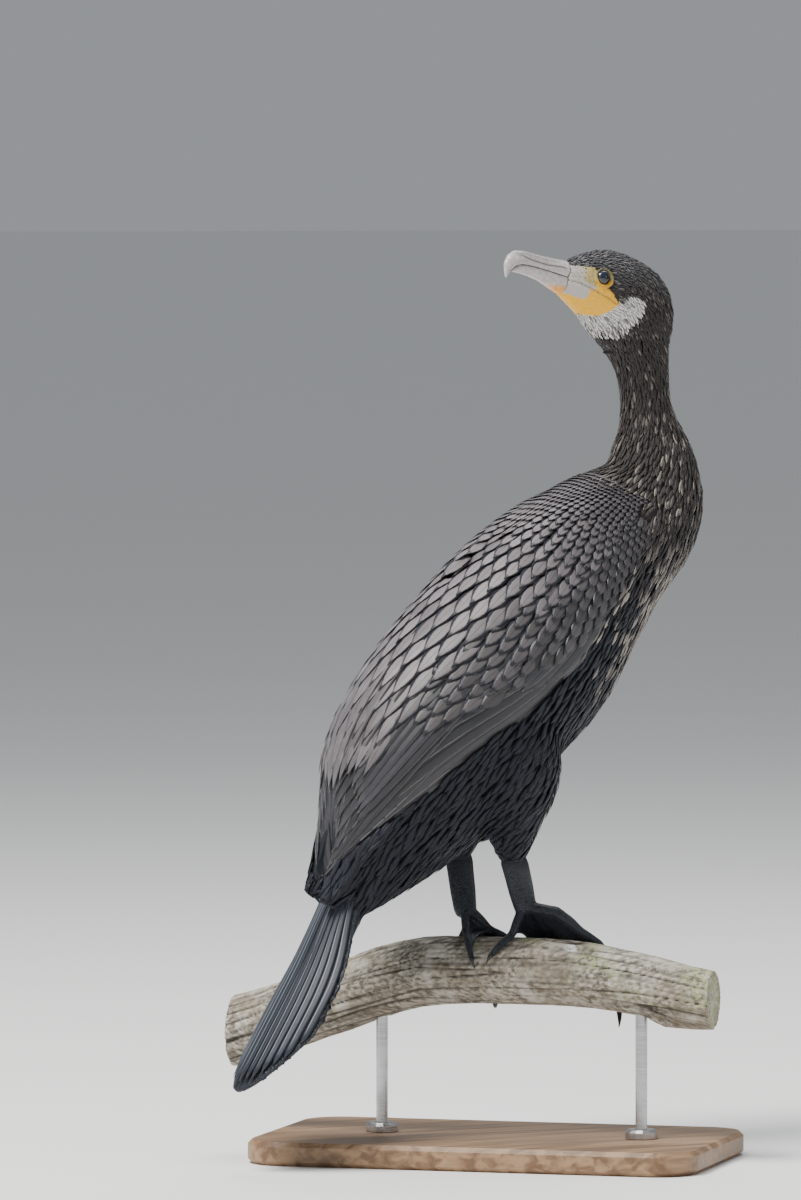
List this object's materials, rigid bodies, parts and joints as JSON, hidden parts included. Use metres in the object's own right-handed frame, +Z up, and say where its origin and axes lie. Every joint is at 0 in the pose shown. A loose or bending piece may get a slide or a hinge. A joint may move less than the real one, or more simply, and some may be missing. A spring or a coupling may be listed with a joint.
{
  "type": "cormorant",
  "caption": "Life-size still model of a young great cormorant standing on a cut length of branch, head turned back, on a plain display stand",
  "frame": {"origin": "middle of the underside of the display base", "axes": "+Z up, +X the way the bird's breast faces, +Y its left"},
  "size_m": [0.3608, 0.3224, 0.6097],
  "materials": {
    "plumage_belly": "blackish contour feathers with a soft navy gloss",
    "plumage_neck": "short blackish brown feathers with pale flecks, white cheek and chin",
    "plumage_wing": "grey-brown coverts with glossy dark edges",
    "plumage_tail": "slate vanes with pale shafts",
    "bill_horn": "pale grey horn with dark grooves",
    "eye": "wet dark eye",
    "leg_skin": "blackish scaled skin",
    "claw_horn": "black horn",
    "branch_wood": "weathered, cracked, with pale lichen",
    "base_wood": "oiled",
    "rod_steel": "satin"
  },
  "bodies": {
    "root": {"head": "plumage_neck", "bill_upper": "bill_horn", "bill_lower": "bill_horn", "eye_left": "eye", "eye_right": "eye", "neck_upper": "plumage_neck", "neck_middle": "plumage_neck", "neck_lower": "plumage_neck", "trunk": "plumage_belly", "wing_left": "plumage_wing", "wing_right": "plumage_wing", "tail": "plumage_tail", "thigh_left": "plumage_belly", "thigh_right": "plumage_belly", "shank_left": "leg_skin", "shank_right": "leg_skin", "foot_left": "leg_skin", "foot_right": "leg_skin", "claw_left_hind": "claw_horn", "claw_left_inner": "claw_horn", "claw_left_middle": "claw_horn", "claw_left_outer": "claw_horn", "claw_right_hind": "claw_horn", "claw_right_inner": "claw_horn", "claw_right_middle": "claw_horn", "claw_right_outer": "claw_horn", "perch_branch": "branch_wood", "stand_base": "base_wood", "stand_rod_left": "rod_steel", "stand_rod_right": "rod_steel"}
  },
  "joints": []
}
